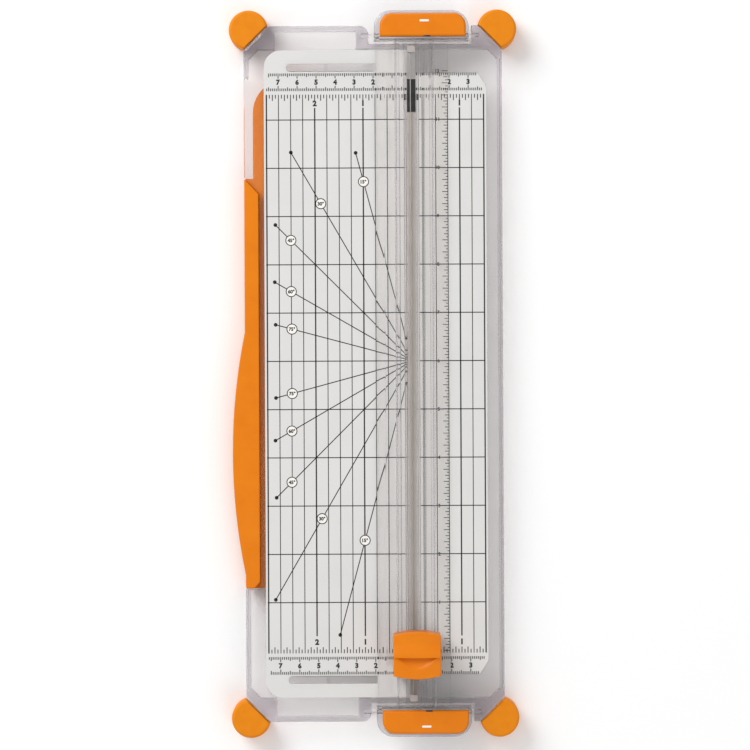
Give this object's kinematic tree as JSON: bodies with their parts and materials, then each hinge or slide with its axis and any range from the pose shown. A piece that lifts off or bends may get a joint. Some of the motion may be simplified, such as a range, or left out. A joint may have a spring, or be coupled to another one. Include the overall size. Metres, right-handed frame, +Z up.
{
  "type": "rotary paper trimmer",
  "caption": "Desktop paper trimmer: clear tray with a printed deck, lift-up cutting rail, sliding rotary blade carriage, swing-out arm and soft corner grips.",
  "frame": {"origin": "middle of the footprint, on the table the trimmer stands on", "axes": "+Z up; +Y along the cut, from the user's front end to the rear end; +X to the user's right, so the swing-out arm is at -X"},
  "size_m": [0.1514, 0.383, 0.0385],
  "materials": {
    "clear_plastic": "moulded clear polystyrene, polished",
    "white_print": "white film with black printed scales",
    "strip_plastic": "self-healing grey cutting strip",
    "black_plastic": "moulded black plastic",
    "orange_plastic": "moulded orange ABS, satin",
    "grip_elastomer": "soft orange elastomer, matt",
    "steel": "plated steel",
    "blade_steel": "ground tool steel"
  },
  "bodies": {
    "base": {"base_tray": "clear_plastic", "grid_panel_left": "white_print", "grid_panel_right": "white_print", "cutting_strip": "strip_plastic", "sight_insert": "black_plastic", "corner_grip_front_left": "grip_elastomer", "corner_grip_front_right": "grip_elastomer", "corner_grip_rear_left": "grip_elastomer", "corner_grip_rear_right": "grip_elastomer", "arm_pivot_screw": "steel", "arm_pivot_washer": "steel"},
    "arm": {"swing_arm": "orange_plastic"},
    "front_pin": {"hinge_pin_front": "clear_plastic"},
    "rail": {"cut_rail": "clear_plastic", "rail_end_rear": "clear_plastic", "rail_end_front": "clear_plastic", "lift_pad_rear": "orange_plastic", "lift_pad_front": "orange_plastic", "hinge_pin_rear": "clear_plastic", "cut_line_wire": "steel", "wire_anchor_rear": "strip_plastic", "wire_anchor_front": "strip_plastic"},
    "carriage": {"carriage_shoe": "orange_plastic", "press_spring_left": "steel", "press_spring_right": "steel"},
    "blade_head": {"thumb_cap": "orange_plastic", "blade_holder": "black_plastic", "blade_axle": "steel"},
    "blade": {"rotary_blade": "blade_steel", "blade_hub": "black_plastic"}
  },
  "joints": [
    {"name": "arm_swing", "type": "hinge", "parent": "base", "child": "arm", "pos_m": [-0.0456, 0.1377, 0.0082], "axis": [0, 0, 1], "range_deg": [-90, 0]},
    {"name": "rail_lift_front", "type": "hinge", "parent": "base", "child": "front_pin", "pos_m": [0.02495, 0.178, 0.0115], "axis": [-1, 0, 0], "range_deg": [0, 35]},
    {"name": "rail_lift_rear", "type": "hinge", "parent": "front_pin", "child": "rail", "pos_m": [0.02495, -0.178, 0.0115], "axis": [1, 0, 0], "range_deg": [0, 35]},
    {"name": "carriage_slide", "type": "slide", "parent": "rail", "child": "carriage", "axis": [0, 1, 0], "range_m": [-0.0138, 0.307]},
    {"name": "blade_press", "type": "slide", "parent": "carriage", "child": "blade_head", "axis": [0, 0, -1], "range_m": [0, 0.0019], "stiffness_N_per_m": 800, "springref_m": -0.003, "deforming": ["press_spring_left", "press_spring_right"]},
    {"name": "blade_spin", "type": "hinge", "parent": "blade_head", "child": "blade", "pos_m": [0.0205, -0.1466, 0.02495], "axis": [1, 0, 0], "continuous": true}
  ]
}
